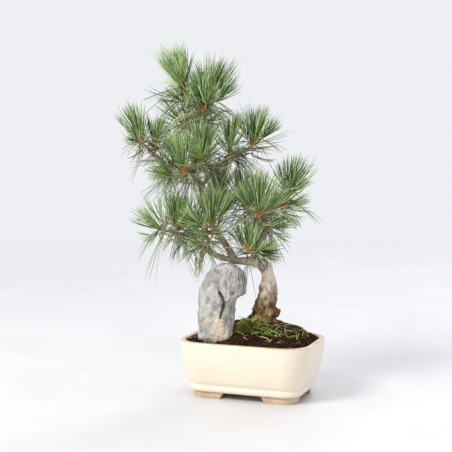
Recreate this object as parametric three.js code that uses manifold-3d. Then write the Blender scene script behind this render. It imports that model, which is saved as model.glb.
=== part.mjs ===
// Five-needle pine bonsai beside an upright stone, in a glazed ceramic pot.
// Millimetres, +Z up. The finished group stands on z = 0, centred under its own box.
import * as THREE from 'three';
import { mergeVertices } from 'three/addons/utils/BufferGeometryUtils.js';
import Module from 'manifold-3d';

const wasm = await Module();
wasm.setup();

// Driving dimensions.
const GAP = 0.35;              // clearance between pieces that touch
const POT_LENGTH = 171;        // outside, across the rim
const POT_WIDTH = 120;
const POT_HEIGHT = 72;
const POT_CORNER = 34;         // outside corner radius at the rim
const POT_TAPER = 15.5;        // how far the wall draws in from rim to base
const POT_BELLY = 1.8;         // power of the wall's curve: higher keeps it upright for longer
const WALL = 6.5;
const FOOT_HEIGHT = 8;
const FLOOR_THICK = 6;
const FOOT_BAND = 9;           // height of the plain band above the feet
const DRAIN_RADIUS = 7;
const DRAIN_SPACING = 68;      // between the two drain holes
const SCREEN_SIDE = 25;
const SCREEN_THICK = 0.8;
const SCREEN_PITCH = 5.5;
const SCREEN_HOLE = 4;
const WIRE_RADIUS = 0.7;
const SOIL_EDGE = 68;          // height of the soil where it meets the pot
const SOIL_MOUND = 26;         // how far it rises towards the trunk
const MOUND_SHIFT = 12;        // how far right of the pot's middle its top lies
const NEEDLE_ROOT = 4;         // how far down its twig a brush of needles begins
const TWIG_INSIDE = 8;         // how far its twig runs on up inside it
const PLANT_TURN = 20;         // degrees that the planting is turned in its pot
const PLANT_LIFT = 4;          // height of the planting's own zero above the table

const FLOOR_TOP = FOOT_HEIGHT + FLOOR_THICK;
const UP = new THREE.Vector3(0, 0, 1);

const MATERIALS = {
  glaze: { color: 0xf6ecd8, roughness: 0.22, metalness: 0 },
  screen: { color: 0x2e2f2c, roughness: 0.7, metalness: 0 },
  wire: { color: 0xa9a9a4, roughness: 0.4, metalness: 1 },
  soil: { color: 0x3c2a1c, roughness: 1, metalness: 0 },
  stone: { color: 0xb9b4aa, roughness: 0.95, metalness: 0 },
  bark: { color: 0x9a8068, roughness: 0.95, metalness: 0 },
  needles: { color: 0x6f9450, roughness: 0.6, metalness: 0 },
  moss: { color: 0x5c6a28, roughness: 1, metalness: 0 },
};

// A direction in the planting's own frame, turned as the planting is.
function way(x, y, z) {
  return new THREE.Vector3(x, y, z).normalize().applyAxisAngle(UP, THREE.MathUtils.degToRad(PLANT_TURN));
}

// A place in the planting: x across it, y towards its back, z up from its own zero.
function at(x, y, z) {
  const place = new THREE.Vector3(x, y, z).applyAxisAngle(UP, THREE.MathUtils.degToRad(PLANT_TURN));
  place.z += PLANT_LIFT;
  return place;
}

// ---- Solids -------------------------------------------------------------------------------

// Joins the geometry's shared vertices and makes a solid of it.
function solid(geometry) {
  const bare = geometry.clone();
  bare.deleteAttribute('normal');
  bare.deleteAttribute('uv');
  const merged = mergeVertices(bare, 1e-4);
  return new wasm.Manifold(new wasm.Mesh({
    numProp: 3,
    vertProperties: new Float32Array(merged.attributes.position.array),
    triVerts: new Uint32Array(merged.index.array),
  }));
}

// The largest separate body of a solid.
function largest(whole) {
  const bodies = whole.decompose();
  bodies.sort((a, b) => b.volume() - a.volume());
  return bodies[0];
}

function geometryOf(whole) {
  const mesh = whole.getMesh();
  const geometry = new THREE.BufferGeometry();
  const positions = Float32Array.from(mesh.vertProperties);
  geometry.setAttribute('position', new THREE.BufferAttribute(positions, 3));
  geometry.setIndex(new THREE.BufferAttribute(Uint32Array.from(mesh.triVerts), 1));
  geometry.computeVertexNormals();
  return geometry;
}

// A closed skin over rings of points. Every ring has the same count and runs anticlockwise
// as seen from the last ring, and each end is closed by a fan to its middle.
function loft(rings) {
  const count = rings[0].length;
  const points = rings.flat();
  const index = [];
  for (let r = 0; r < rings.length - 1; r++) {
    for (let i = 0; i < count; i++) {
      const a = r * count + i;
      const b = r * count + (i + 1) % count;
      index.push(a, b, b + count, a, b + count, a + count);
    }
  }
  const ends = [[rings[0], 0], [rings.at(-1), (rings.length - 1) * count]];
  ends.forEach(([ring, start], end) => {
    const middle = ring.reduce((sum, p) => sum.add(p), new THREE.Vector3()).divideScalar(count);
    points.push(middle);
    for (let i = 0; i < count; i++) {
      const a = start + i;
      const b = start + (i + 1) % count;
      index.push(...(end ? [a, b, points.length - 1] : [b, a, points.length - 1]));
    }
  });
  const geometry = new THREE.BufferGeometry().setFromPoints(points);
  geometry.setIndex(index);
  return geometry;
}

// A round limb along smooth points, each [x, y, z, radius] in the planting's own frame.
function limb(points, sides, extra = 0, stride = 10) {
  const curve = new THREE.CatmullRomCurve3(points.map(([x, y, z]) => at(x, y, z)), false, 'centripetal');
  const radii = new THREE.SplineCurve(points.map((p, i) => new THREE.Vector2(i, p[3])));
  const steps = Math.max(2, Math.round(curve.getLength() / stride));
  const frames = curve.computeFrenetFrames(steps, false);
  const rings = [];
  for (let s = 0; s <= steps; s++) {
    const t = curve.getUtoTmapping(s / steps);
    const centre = curve.getPoint(t);
    const radius = radii.getPoint(t).y + extra;
    const ring = [];
    for (let i = 0; i < sides; i++) {
      const angle = 2 * Math.PI * i / sides;
      const offset = frames.normals[s].clone().multiplyScalar(radius * Math.cos(angle));
      offset.addScaledVector(frames.binormals[s], radius * Math.sin(angle));
      ring.push(offset.add(centre));
    }
    rings.push(ring);
  }
  return solid(loft(rings));
}

// ---- Pot ----------------------------------------------------------------------------------

// One level of the pot: a rounded rectangle drawn in by `inset` from the rim.
function potRing(height, inset) {
  const halfX = POT_LENGTH / 2 - inset;
  const halfY = POT_WIDTH / 2 - inset;
  const corner = Math.max(POT_CORNER - inset, 6);
  const steps = 7;
  const ring = [];
  for (let quarter = 0; quarter < 4; quarter++) {
    const signX = quarter === 0 || quarter === 3 ? 1 : -1;
    const signY = quarter < 2 ? 1 : -1;
    for (let i = 0; i <= steps; i++) {
      const angle = (quarter + i / steps) * Math.PI / 2;
      const x = signX * (halfX - corner) + corner * Math.cos(angle);
      const y = signY * (halfY - corner) + corner * Math.sin(angle);
      ring.push(new THREE.Vector3(x, y, height));
    }
  }
  return ring;
}

// How far the outside wall has drawn in at a height: nearly upright above, curving in below.
function wallInset(height) {
  const rise = (height - FOOT_HEIGHT) / (POT_HEIGHT - FOOT_HEIGHT);
  return POT_TAPER * Math.pow(1 - rise, POT_BELLY);
}

function potOutside() {
  const bandTop = FOOT_HEIGHT + FOOT_BAND;
  const rings = [
    potRing(0, POT_TAPER + 1.5),
    potRing(FOOT_HEIGHT, POT_TAPER),
    potRing(bandTop - 1, POT_TAPER - 1.5),
    potRing(bandTop, POT_TAPER - 0.8),
  ];
  const levels = 6;
  for (let i = 1; i <= levels; i++) {
    const height = bandTop + (POT_HEIGHT - 1.5 - bandTop) * i / levels;
    rings.push(potRing(height, wallInset(height)));
  }
  rings.push(potRing(POT_HEIGHT, 1.2));
  return solid(loft(rings));
}

function potInside() {
  const rings = [
    potRing(FLOOR_TOP, POT_TAPER + WALL + 3),
    potRing(FLOOR_TOP + 4, wallInset(FLOOR_TOP + 4) + WALL + 0.8),
  ];
  for (const height of [30, 46, 58, POT_HEIGHT - 1]) {
    rings.push(potRing(height, wallInset(height) + WALL));
  }
  rings.push(potRing(POT_HEIGHT + 1, WALL - 1));
  return rings;
}

// A tunnel under the pot whose ends slope outwards towards the table.
function footArch(width, length) {
  const slope = 5;
  const outline = new THREE.Shape();
  outline.moveTo(-width / 2 - slope, -1);
  outline.lineTo(width / 2 + slope, -1);
  outline.lineTo(width / 2, FOOT_HEIGHT);
  outline.lineTo(-width / 2, FOOT_HEIGHT);
  outline.closePath();
  const tunnel = new THREE.ExtrudeGeometry(outline, { depth: length, bevelEnabled: false });
  tunnel.translate(0, 0, -length / 2);
  tunnel.rotateX(Math.PI / 2);
  return tunnel;
}

function pot() {
  const footWall = 11;
  const under = solid(loft([potRing(-1, POT_TAPER + footWall), potRing(FOOT_HEIGHT, POT_TAPER + footWall)]));
  let body = potOutside().subtract(solid(loft(potInside()))).subtract(under);
  body = body.subtract(solid(footArch(POT_LENGTH * 0.29, POT_WIDTH + 20)));
  body = body.subtract(solid(footArch(POT_WIDTH * 0.32, POT_LENGTH + 20).rotateZ(Math.PI / 2)));
  for (const side of [-1, 1]) {
    const hole = new THREE.CylinderGeometry(DRAIN_RADIUS, DRAIN_RADIUS, 30, 24).rotateX(Math.PI / 2);
    body = body.subtract(solid(hole.translate(side * DRAIN_SPACING / 2, 0, FLOOR_TOP)));
  }
  return body;
}

// ---- Drainage -----------------------------------------------------------------------------

function drainScreen(side) {
  let sheet = solid(new THREE.BoxGeometry(SCREEN_SIDE, SCREEN_SIDE, SCREEN_THICK));
  for (const column of [-1, 0, 1]) {
    for (const row of [-1, 0, 1]) {
      const hole = new THREE.BoxGeometry(SCREEN_HOLE, SCREEN_HOLE, 2);
      sheet = sheet.subtract(solid(hole.translate(column * SCREEN_PITCH, row * SCREEN_PITCH, 0)));
    }
  }
  return sheet.translate([side * DRAIN_SPACING / 2, 0, FLOOR_TOP + GAP + SCREEN_THICK / 2]);
}

// A staple of wire over the screen, down through the drain hole, its ends bent out below.
function wireClip(side) {
  const x = side * DRAIN_SPACING / 2;
  const bridge = FLOOR_TOP + 2 * GAP + SCREEN_THICK + WIRE_RADIUS;
  const below = FOOT_HEIGHT - GAP - WIRE_RADIUS;
  const end = DRAIN_RADIUS + 6;
  const bend = 0.8;
  const corners = [
    [-end, below], [-SCREEN_PITCH, below], [-SCREEN_PITCH, bridge],
    [SCREEN_PITCH, bridge], [SCREEN_PITCH, below], [end, below],
  ].map(([y, z]) => new THREE.Vector3(x, y, z));
  const points = [corners[0]];
  for (let i = 1; i < corners.length - 1; i++) {
    for (const neighbour of [corners[i - 1], corners[i + 1]]) {
      const towards = neighbour.clone().sub(corners[i]).normalize();
      points.push(corners[i].clone().addScaledVector(towards, bend));
    }
  }
  points.push(corners.at(-1));
  const curve = new THREE.CatmullRomCurve3(points, false, 'centripetal');
  const section = new THREE.Shape().absarc(0, 0, WIRE_RADIUS, 0, 2 * Math.PI);
  const wire = new THREE.ExtrudeGeometry(section, { extrudePath: curve, steps: 26, curveSegments: 3 });
  return solid(wire);
}

// ---- Wood ---------------------------------------------------------------------------------

// Main limbs. Each point is [x, y, z, radius].
const LIMBS = {
  trunk: [
    [13, 0, 58, 15], [13, 0, 84, 16.5], [15, 0, 105, 14.5], [19, 0, 122, 11.5], [20, 0, 140, 9],
    [15, -2, 157, 8.5], [3, -1, 164, 6.5], [-14, 0, 165, 5], [-30, 3, 165, 4],
  ],
  leader: [
    [-22, 1, 166, 4.6], [-42, 8, 196, 4], [-56, 6, 218, 3.9], [-62, 2, 240, 3.8], [-66, 0, 260, 3.3],
    [-75, 0, 282, 2.9], [-72, 4, 318, 2.3], [-74, 0, 350, 1.8],
  ],
  low_left: [
    [-24, 3, 165, 4], [-48, 6, 172, 3.5], [-72, 6, 187, 2.9], [-94, 1, 199, 2.2], [-112, -3, 204, 1.6],
  ],
  right: [[-2, 0, 160, 5], [4, 3, 182, 4.2], [6, 2, 200, 3.4], [7, -8, 220, 2.2]],
  far_right: [[5, 2, 196, 2.8], [16, 6, 222, 2.4], [28, 5, 236, 2], [40, 2, 246, 1.6]],
  left: [[-74, 0, 278, 2.6], [-96, 7, 277, 2.3], [-118, 6, 290, 2], [-138, 0, 314, 1.6]],
  right_middle: [[-65, 0, 258, 2.7], [-48, 4, 279, 2.3], [-26, 3, 295, 2], [-2, 0, 308, 1.6]],
};

// Surface roots, the cut stub, the collar round the old pruning cut, and two burls.
const OUTGROWTHS = [
  [[10, 0, 96, 9], [-4, -8, 84, 7], [-18, -14, 70, 4]],
  [[18, -2, 98, 9], [26, -8, 84, 7], [33, -12, 66, 4]],
  [[16, 4, 96, 9], [24, 14, 82, 6], [30, 24, 66, 4]],
  [[8, 4, 96, 9], [-6, 16, 80, 6], [-14, 24, 66, 4]],
  [[14, -4, 96, 8], [16, -20, 82, 6], [14, -30, 66, 4]],
  [[4, 3, 190, 2.8], [16, 3, 202, 2.5], [29, 3, 213, 2.4]],
  [[14, 2, 158, 8.5], [12.5, -9, 161, 8.5]],
  [[15, 0, 131, 7], [9, -3, 134, 5.5], [7, -4, 135, 3]],
  [[22, -4, 98, 9], [30, -6, 103, 6.5], [33, -6, 104, 3]],
];

// Shoots: the limb each grows from, how far along it, the twig's run to its tip in mm, the way
// its needles point, and how far they reach.
const SHOOTS = {
  top_left: ['leader', 1, [-14, 2, 32], [-0.35, 0, 0.9], 54],
  top_centre: ['leader', 1, [12, -16, 7], [0, -0.15, 1], 46],
  top_right: ['leader', 1, [21, -6, 14], [0.35, 0, 0.95], 54],
  top_back: ['leader', 0.97, [-8, 24, 20], [-0.4, 0.5, 0.75], 40],
  upper_left: ['leader', 0.92, [-16, 8, 4], [-0.7, 0.1, 0.7], 42],
  left_end: ['left', 1, [-3, 0, 5], [-0.4, 0, 0.9], 44],
  left_inner: ['left', 0.8, [6, 12, 8], [0.1, 0.3, 0.95], 38],
  left_skirt: ['left', 0.45, [-10, -4, -2], [-0.9, -0.1, -0.35], 42],
  middle_left: ['leader', 0.63, [-13, -30, 4], [-0.2, -0.2, 0.95], 48],
  middle_left_skirt: ['leader', 0.61, [-8, -16, -4], [-0.5, -0.4, -0.6], 36],
  middle_front: ['leader', 0.7, [14, -34, 4], [0.1, -0.2, 1], 46],
  middle_skirt: ['right_middle', 0.3, [2, -20, 6], [0.7, -0.5, -0.1], 36],
  right_middle: ['right_middle', 0.6, [2, -8, 10], [0.05, -0.1, 1], 46],
  right_middle_end: ['right_middle', 1, [4, 0, 4], [0.2, 0, 1], 46],
  right_middle_skirt: ['right_middle', 0.75, [5, 10, -2], [0.8, 0.3, -0.4], 36],
  far_right: ['far_right', 1, [5, 0, 6], [0.3, 0, 0.95], 46],
  far_right_low: ['far_right', 0.75, [10, -8, -2], [0.9, -0.2, 0.2], 38],
  right_front: ['right', 1, [0, -20, 8], [0, -0.2, 1], 52],
  right_back: ['right', 0.9, [-20, 14, 22], [-0.15, 0.1, 1], 48],
  low_centre: ['leader', 0.2, [-8, -40, 16], [0, -0.2, 1], 48],
  low_right: ['right', 0.35, [-10, -26, 3], [0.1, -0.2, 1], 38],
  low_right_skirt: ['right', 0.25, [4, -14, 5], [0.85, -0.2, 0.05], 34],
  low_left_end: ['low_left', 1, [-3, 0, 2], [-0.8, 0, 0.6], 42],
  low_left_up: ['low_left', 0.85, [2, -14, 12], [0, -0.1, 1], 42],
  low_left_down: ['low_left', 0.75, [-3, 2, -4], [-0.5, 0, -0.8], 42],
  low_left_hang: ['low_left', 0.45, [0, 2, -6], [0.1, 0.1, -1], 36],
  low_left_middle: ['low_left', 0.55, [0, 8, 14], [0.1, 0.2, 0.95], 36],
  low_inner: ['low_left', 0.3, [-4, -18, 22], [-0.4, -0.4, 0.6], 36],
  right_low: ['far_right', 0.2, [12, 4, 2], [0.8, 0.2, 0.2], 34],
  back_top: ['leader', 0.93, [2, 30, 4], [0.3, 0.7, 0.6], 40],
  back_upper: ['leader', 0.72, [8, 42, 8], [0.1, 0.6, 0.8], 46],
  back_left: ['left', 0.3, [-4, 34, 8], [-0.2, 0.6, 0.8], 44],
  back_middle: ['leader', 0.35, [14, 44, 18], [0.1, 0.5, 0.85], 46],
  back_right: ['right', 0.7, [6, 44, 12], [0.3, 0.6, 0.8], 46],
  back_low: ['low_left', 0.65, [-4, 38, 16], [-0.3, 0.5, 0.8], 44],
};

// The point a share of the way along a limb, in the planting's own frame.
function along(name, share) {
  const points = LIMBS[name].map(([x, y, z]) => new THREE.Vector3(x, y, z));
  return new THREE.CatmullRomCurve3(points, false, 'centripetal').getPointAt(share);
}

// A twig leaves its limb, sags a little and ends up inside its needles.
function twigPoints([name, share, run, needles]) {
  const start = along(name, share);
  const offset = new THREE.Vector3(...run);
  const sag = 0.1 * offset.length();
  const middle = start.clone().addScaledVector(offset, 0.5);
  const tip = start.clone().add(offset);
  const end = tip.clone().addScaledVector(new THREE.Vector3(...needles).normalize(), TWIG_INSIDE);
  return [
    [start.x, start.y, start.z, 1.7],
    [middle.x, middle.y, middle.z - sag, 1.6],
    [tip.x, tip.y, tip.z, 1.5],
    [end.x, end.y, end.z, 1.2],
  ];
}

// The tree's wood, all round `extra` thicker than it really is.
function wood(extra = 0) {
  const limbs = [limb(LIMBS.trunk, 12, extra)];
  for (const name of Object.keys(LIMBS).slice(1)) {
    limbs.push(limb(LIMBS[name], 7, extra, 13));
  }
  for (const points of OUTGROWTHS) {
    limbs.push(limb(points, 7, extra));
  }
  for (const shoot of Object.values(SHOOTS)) {
    limbs.push(limb(twigPoints(shoot), 5, extra, 16));
  }
  return wasm.Manifold.union(limbs);
}

// ---- Needles ------------------------------------------------------------------------------

// The brush of needles on one shoot: a dome that opens from the twig, fluted by its needles.
function brush([name, share, run, needles, reach]) {
  const start = along(name, share).add(new THREE.Vector3(...run));
  const axis = way(...needles);
  const base = at(start.x, start.y, start.z).addScaledVector(axis, -NEEDLE_ROOT);
  const turn = new THREE.Quaternion().setFromUnitVectors(UP, axis);
  const columns = 10;
  const profile = [[0, 0.1], [0.25, 0.34], [0.7, 0.47], [1, 0.27]];
  const fluting = 0.74;
  const rings = profile.map(([rise, width]) => {
    const ring = [];
    for (let i = 0; i < columns; i++) {
      const angle = 2 * Math.PI * i / columns;
      const spread = reach * width * (i % 2 ? fluting : 1);
      const height = (reach + NEEDLE_ROOT) * rise;
      const point = new THREE.Vector3(spread * Math.cos(angle), spread * Math.sin(angle), height);
      ring.push(point.applyQuaternion(turn).add(base));
    }
    return ring;
  });
  return solid(loft(rings));
}

// A copy of a solid swollen about its own middle by the gap.
function swollen(whole) {
  const { min, max } = whole.boundingBox();
  const middle = min.map((low, i) => (low + max[i]) / 2);
  const grown = min.map((low, i) => 1 + 4 * GAP / (max[i] - low));
  return whole.translate(middle.map((m) => -m)).scale(grown).translate(middle);
}

function boxesMeet(one, other) {
  const a = one.boundingBox();
  const b = other.boundingBox();
  return a.min.every((low, i) => low < b.max[i] && b.min[i] < a.max[i]);
}

// ---- Stone and ground ---------------------------------------------------------------------

// The stone by level: height, middle across, half width, half depth. It overhangs on the right.
const STONE = [
  [56, -46, 19, 17], [72, -46, 22, 21], [95, -46, 23, 21], [111, -45, 23, 20], [120, -42, 25, 20],
  [127, -38, 28, 21], [142, -36, 26, 19], [153, -33.5, 20.5, 16], [159, -32, 14, 11], [163, -30, 8, 6],
];
const STONE_FRONT = -13;       // how far the stone stands forward of the trunk

function stone(extra = 0) {
  const columns = 20;
  const rings = STONE.map(([level, middle, halfWidth, halfDepth], row) => {
    const height = row ? level + extra : level - extra;
    const ring = [];
    for (let i = 0; i < columns; i++) {
      const angle = 2 * Math.PI * i / columns;
      const square = Math.pow(Math.abs(Math.cos(angle)) ** 3 + Math.abs(Math.sin(angle)) ** 3, -1 / 3);
      const waves = Math.sin(3 * angle + level / 17) + Math.sin(5 * angle - level / 9);
      const facet = square * (1 + 0.03 * waves);
      const x = middle + (halfWidth * facet + extra) * Math.cos(angle);
      const y = STONE_FRONT + (halfDepth * facet + extra) * Math.sin(angle);
      ring.push(at(x, y, height));
    }
    return ring;
  });
  return solid(loft(rings));
}

// Soil fills the pot and mounds up in a smooth hump.
function soil() {
  const rings = [potRing(FLOOR_TOP + GAP, POT_TAPER + WALL + 3.5)];
  for (const height of [FLOOR_TOP + 6, 30, 46, 58, SOIL_EDGE]) {
    rings.push(potRing(height, wallInset(height) + WALL + 1));
  }
  const edge = rings.at(-1);
  for (const share of [0.92, 0.78, 0.6, 0.4, 0.2, 0.06]) {
    const height = SOIL_EDGE + SOIL_MOUND * Math.cos(share * Math.PI / 2);
    const shift = MOUND_SHIFT * (1 - share);
    rings.push(edge.map((p) => new THREE.Vector3(p.x * share + shift, p.y * share, height)));
  }
  let body = solid(loft(rings));
  for (const side of [-1, 1]) {
    const pocket = new THREE.BoxGeometry(SCREEN_SIDE + 2 * GAP, SCREEN_SIDE + 2 * GAP, 8);
    body = body.subtract(solid(pocket.translate(side * DRAIN_SPACING / 2, 0, FLOOR_TOP - 0.6)));
  }
  return body;
}

// A cushion of moss: the part of a flat dome that stands above the ground.
function mossCushion([x, y, z], [halfX, halfY, halfZ], turn) {
  const dome = new THREE.SphereGeometry(1, 14, 8);
  dome.scale(halfX, halfY, halfZ);
  dome.rotateZ(THREE.MathUtils.degToRad(turn));
  const place = at(x, y, z);
  return solid(dome.translate(place.x, place.y, place.z));
}

// A fan of grass blades from one crown.
function grass() {
  const blades = [[-10, -4, 9], [-4, -7, 15], [4, -6, 17], [10, -3, 12], [16, -2, 8]];
  let tuft = solid(new THREE.CylinderGeometry(1.2, 1.6, 6, 8).rotateX(Math.PI / 2));
  for (const [x, y, z] of blades) {
    const tip = new THREE.Vector3(x, y, z);
    const blade = new THREE.ConeGeometry(0.8, tip.length(), 5).rotateX(Math.PI / 2);
    blade.translate(0, 0, tip.length() / 2);
    blade.applyQuaternion(new THREE.Quaternion().setFromUnitVectors(UP, tip.normalize()));
    tuft = tuft.add(solid(blade));
  }
  const place = at(14, -34, SOIL_EDGE + 15);
  return tuft.translate(place.toArray());
}

// ---- The whole ----------------------------------------------------------------------------

const model = new THREE.Group();

function add(name, material, whole) {
  const finish = new THREE.MeshStandardMaterial(MATERIALS[material]);
  const mesh = new THREE.Mesh(geometryOf(largest(whole)), finish);
  mesh.name = name;
  model.add(mesh);
}

const tree = wood();
const treeSpace = wood(GAP);
const rock = largest(stone().subtract(treeSpace));
const rockSpace = stone(GAP);
const ground = largest(soil().subtract(treeSpace).subtract(rockSpace));
const groundSpace = ground.add(ground.translate([0, 0, GAP]));
const potBody = pot();

add('pot', 'glaze', potBody);
for (const [place, side] of [['left', -1], ['right', 1]]) {
  add(`drain_screen_${place}`, 'screen', drainScreen(side));
  add(`screen_clip_${place}`, 'wire', wireClip(side));
}
add('soil', 'soil', ground);
add('stone', 'stone', rock);
add('trunk_and_branches', 'bark', tree);

const cushions = {
  moss_trunk_foot: mossCushion([-4, -18, 86], [26, 17, 8], 10),
  moss_right: mossCushion([42, -14, 77], [28, 20, 8], -10),
  moss_left: mossCushion([-66, 4, 66], [10, 9, 5], 30),
};
for (const [name, cushion] of Object.entries(cushions)) {
  add(name, 'moss', cushion.subtract(groundSpace).subtract(treeSpace).subtract(rockSpace));
}
const mossSpace = Object.values(cushions).map(swollen);
add('grass', 'moss', mossSpace.reduce((tuft, space) => tuft.subtract(space), grass().subtract(groundSpace)));

const neighbours = [treeSpace, rockSpace];
for (const [name, shoot] of Object.entries(SHOOTS)) {
  const whole = brush(shoot);
  let needles = whole;
  for (const neighbour of neighbours.filter((other) => boxesMeet(whole, other))) {
    needles = needles.subtract(neighbour);
  }
  add(`needles_${name}`, 'needles', needles);
  neighbours.push(swollen(whole));
}

// Stand the group on z = 0 and centre it under its own box.
const box = new THREE.Box3().setFromObject(model);
const middle = box.getCenter(new THREE.Vector3());
model.position.set(-middle.x, -middle.y, -box.min.z);

export default model;
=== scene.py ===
"""Looks of a five-needle pine bonsai beside an upright stone, in a glazed pot."""
import math

import bmesh
import bpy
import numpy as np
from mathutils import Matrix, Vector, noise
from mathutils.bvhtree import BVHTree


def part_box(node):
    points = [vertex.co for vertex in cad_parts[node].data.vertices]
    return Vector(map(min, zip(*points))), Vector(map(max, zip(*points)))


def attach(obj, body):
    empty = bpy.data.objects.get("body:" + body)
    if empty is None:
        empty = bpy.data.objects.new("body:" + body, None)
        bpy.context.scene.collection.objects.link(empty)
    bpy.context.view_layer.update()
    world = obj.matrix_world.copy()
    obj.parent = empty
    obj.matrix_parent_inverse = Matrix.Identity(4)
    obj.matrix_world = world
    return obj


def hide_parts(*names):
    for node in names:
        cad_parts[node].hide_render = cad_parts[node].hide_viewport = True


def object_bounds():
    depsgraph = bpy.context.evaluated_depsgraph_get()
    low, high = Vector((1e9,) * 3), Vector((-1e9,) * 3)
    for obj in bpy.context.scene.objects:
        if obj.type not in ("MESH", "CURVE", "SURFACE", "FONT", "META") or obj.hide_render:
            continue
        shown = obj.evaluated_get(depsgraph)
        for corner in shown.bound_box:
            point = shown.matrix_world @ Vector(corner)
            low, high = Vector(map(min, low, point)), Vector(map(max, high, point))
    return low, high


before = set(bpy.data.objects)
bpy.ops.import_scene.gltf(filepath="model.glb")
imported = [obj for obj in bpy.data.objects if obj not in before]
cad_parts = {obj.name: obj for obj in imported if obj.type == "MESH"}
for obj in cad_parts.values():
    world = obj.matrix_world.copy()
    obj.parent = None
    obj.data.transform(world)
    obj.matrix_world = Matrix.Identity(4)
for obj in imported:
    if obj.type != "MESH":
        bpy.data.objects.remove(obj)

CAD_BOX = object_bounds()
MM = 0.001
GOLDEN_ANGLE = math.pi * (3 - math.sqrt(5))

# The pot's own measures, in mm, that its box doesn't give.
POT_CORNER = 34                   # radius of its corners at the rim
POT_TAPER = 15.5                  # how far the foot lies inside the rim
POT_BELLY = 2                     # 1 would be a straight wall
WALL = 6.5
FOOT_HEIGHT = 8
FLOOR_TOP = 14
BAND_TOP = 17                     # top of the moulded band round the foot
DRAIN_RADIUS = 7
DRAIN_SPACING = 68
DRAIN_CUT_DEPTH = 30
ARCH_SLOPE = 5
FRONT_ARCH = 0.29                 # share of the pot's length between its feet
SIDE_ARCH = 0.32                  # and of its width

PLANT_TURN = math.radians(20)     # how far the planting is turned in its pot
PLANT_LIFT = 4                    # height of the planting's own zero above the table

# Places on the front of the stone and the trunk: across and height in the planting, in mm.
CREVICE = [(-42, 131), (-38, 123), (-36, 114), (-38, 106), (-41, 98)]
POCKET = (-25, 128)               # a small hollow beside the crevice
UNDERCUT = (-30, 117)             # the stone is cut in to the right of this, at this height
STAIN = (-43, 86)                 # a cream patch
FLOW_LINES_FROM = 116             # the stone's top, above this height, has wavy lines
TRUNK_DENT = (5, 134)
KNOT = (12, 160.5)                # middle of the old pruning cut

# How fine the displaced meshes are, in metres.
STONE_VOXEL = 0.8 * MM
BARK_VOXEL = 0.7 * MM
SOIL_VOXEL = 1.3 * MM
MOSS_VOXEL = 0.9 * MM

# The ground cover.
SEEDS = {"needles": 5, "crumbs": 21, "moss": 33, "litter": 44, "grass": 55}
CRUMBS = 3200
SOIL_MOSS_TRIES = 12000
CUSHIONS = {"moss_trunk_foot": (2600, 0.46), "moss_right": (2200, 0.34), "moss_left": (800, 0.45)}
MOSS_EDGE_DROP = 4.5 * MM         # how far a cushion is drawn down at its edge
FALLEN_NEEDLES = 190
LITTER_LIFT = 1.4 * MM
GRASS_BLADES = 46
SOIL_RELIEF_FROM = 0.06           # only the soil's top, above this height, gets relief
RAY_HEIGHT = 0.3                  # above all of the ground

POT_LOW, POT_HIGH = (Vector(corner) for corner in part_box("pot"))
POT_MIDDLE = (POT_LOW + POT_HIGH) / 2
POT_FOOT = Vector((POT_MIDDLE.x, POT_MIDDLE.y, 0))
POT_SIZE = (POT_HIGH - POT_LOW) / MM


def way(x, y, z):
    """A direction in the planting's frame, turned as the planting is."""
    return Vector((x, y, z)).normalized() @ Matrix.Rotation(-PLANT_TURN, 3, "Z")


def at(x, y, z):
    """A place in the planting's own frame, in mm, which stands over the pot's middle."""
    return Matrix.Rotation(PLANT_TURN, 3, "Z") @ Vector((x, y, z + PLANT_LIFT)) * MM + POT_FOOT


FRONT = np.array(way(0, 1, 0))    # the planting's +Y, which points away from the viewer


# ---- Camera, floor and light ----

VIEW_TURN = math.radians(20.4)
VIEW_RISE = math.radians(5.2)
VIEW_DISTANCE = 1.367
VIEW_TARGET = at(-34, 0, 209)
VIEW_LENS = 87
SENSOR_WIDTH = 36
LIT_PLACE = Vector((0, 0, 0.2))
FLOOR_RADIUS = 6
FADE_FROM = 0.35                  # where the floor begins to fade, from the origin
FADE_TO = 2.2


def make_camera():
    data = bpy.data.cameras.new("camera")
    data.lens = VIEW_LENS
    data.sensor_width = SENSOR_WIDTH
    camera = new_object("camera", data)
    back = Vector((
        math.sin(VIEW_TURN) * math.cos(VIEW_RISE),
        -math.cos(VIEW_TURN) * math.cos(VIEW_RISE),
        math.sin(VIEW_RISE),
    ))
    camera.location = VIEW_TARGET + back * VIEW_DISTANCE
    camera.rotation_euler = back.to_track_quat("Z", "Y").to_euler()
    bpy.context.scene.camera = camera


def area_light(name, place, size, power, colour):
    data = bpy.data.lights.new(name, "AREA")
    data.shape = "DISK"
    data.size = size
    data.energy = power
    data.color = colour
    light = new_object(name, data)
    light.location = place
    light.rotation_euler = (Vector(place) - LIT_PLACE).to_track_quat("Z", "Y").to_euler()


def make_studio():
    world = bpy.data.worlds.new("studio")
    bpy.context.scene.world = world
    world.use_nodes = True
    background = world.node_tree.nodes["Background"]
    background.inputs["Color"].default_value = (0.95, 0.96, 1.0, 1)
    background.inputs["Strength"].default_value = 0.9
    bpy.context.scene.view_settings.view_transform = "Standard"
    area_light("key", (-0.9, -1.5, 1.5), 0.9, 42, (1.0, 0.98, 0.94))
    area_light("fill", (1.5, -0.9, 0.9), 1.4, 2, (0.95, 0.97, 1.0))
    area_light("rim", (0.4, 1.6, 1.4), 1.2, 14, (1.0, 1.0, 1.0))


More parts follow.
